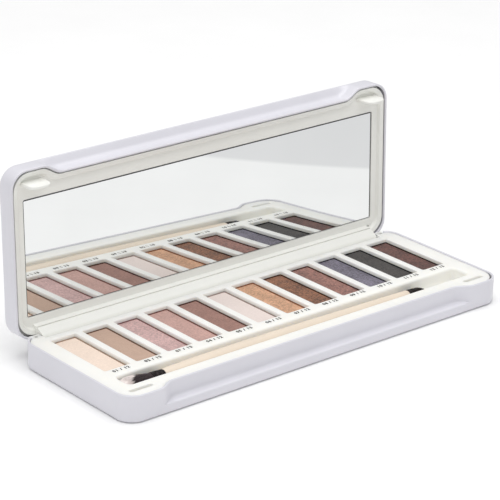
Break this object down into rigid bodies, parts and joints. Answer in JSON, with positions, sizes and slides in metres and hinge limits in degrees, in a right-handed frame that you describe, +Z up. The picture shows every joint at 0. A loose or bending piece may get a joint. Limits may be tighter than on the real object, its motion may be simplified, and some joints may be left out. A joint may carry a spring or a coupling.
{
  "type": "eyeshadow palette",
  "caption": "Hinged pressed-tin eyeshadow palette: a row of pressed powder pans and a brush in a moulded tray, and a lid with a long mirror.",
  "frame": {"origin": "centre of the base's flat underside", "axes": "+X along the hinge to the right, +Y from the finger recess towards the hinge, +Z up"},
  "size_m": [0.2, 0.0845, 0.0798],
  "materials": {
    "tin_paint": "satin",
    "moulding_plastic": "satin",
    "glue": "matte",
    "pin_steel": "satin",
    "pan_metal": "satin",
    "mirror_glass": "gloss",
    "handle_paint": "satin",
    "ferrule_black": "satin",
    "brush_hair": "matte",
    "tip_hair": "matte",
    "shade_01": "matte",
    "shade_02": "matte",
    "shade_03": "matte",
    "shade_04": "matte",
    "shade_05": "matte",
    "shade_06": "matte",
    "shade_07": "matte",
    "shade_08": "matte",
    "shade_09": "matte",
    "shade_10": "matte",
    "shade_11": "matte",
    "shade_12": "matte"
  },
  "bodies": {
    "base": {"base_tin": "tin_paint", "shadow_tray": "moulding_plastic", "tray_adhesive": "glue", "pan_adhesive": "glue", "hinge_pin_left": "pin_steel", "hinge_pin_right": "pin_steel", "pan_01": "pan_metal", "pan_02": "pan_metal", "pan_03": "pan_metal", "pan_04": "pan_metal", "pan_05": "pan_metal", "pan_06": "pan_metal", "pan_07": "pan_metal", "pan_08": "pan_metal", "pan_09": "pan_metal", "pan_10": "pan_metal", "pan_11": "pan_metal", "pan_12": "pan_metal", "powder_01": "shade_01", "powder_02": "shade_02", "powder_03": "shade_03", "powder_04": "shade_04", "powder_05": "shade_05", "powder_06": "shade_06", "powder_07": "shade_07", "powder_08": "shade_08", "powder_09": "shade_09", "powder_10": "shade_10", "powder_11": "shade_11", "powder_12": "shade_12"},
    "lid": {"lid_tin": "tin_paint", "lid_liner": "moulding_plastic", "liner_adhesive": "glue", "mirror": "mirror_glass", "mirror_adhesive": "glue"},
    "brush": {"brush_handle": "handle_paint", "brush_ferrule": "ferrule_black", "brush_bristles": "brush_hair", "applicator_ferrule": "ferrule_black", "applicator_tip": "tip_hair"}
  },
  "joints": [
    {"name": "lid_hinge", "type": "hinge", "parent": "base", "child": "lid", "pos_m": [0, 0.0348, 0.0094], "axis": [-1, 0, 0], "range_deg": [-92, 38]},
    {"name": "brush_lift", "type": "slide", "parent": "base", "child": "brush", "axis": [0, 0, 1], "range_m": [0, 0.03]}
  ]
}
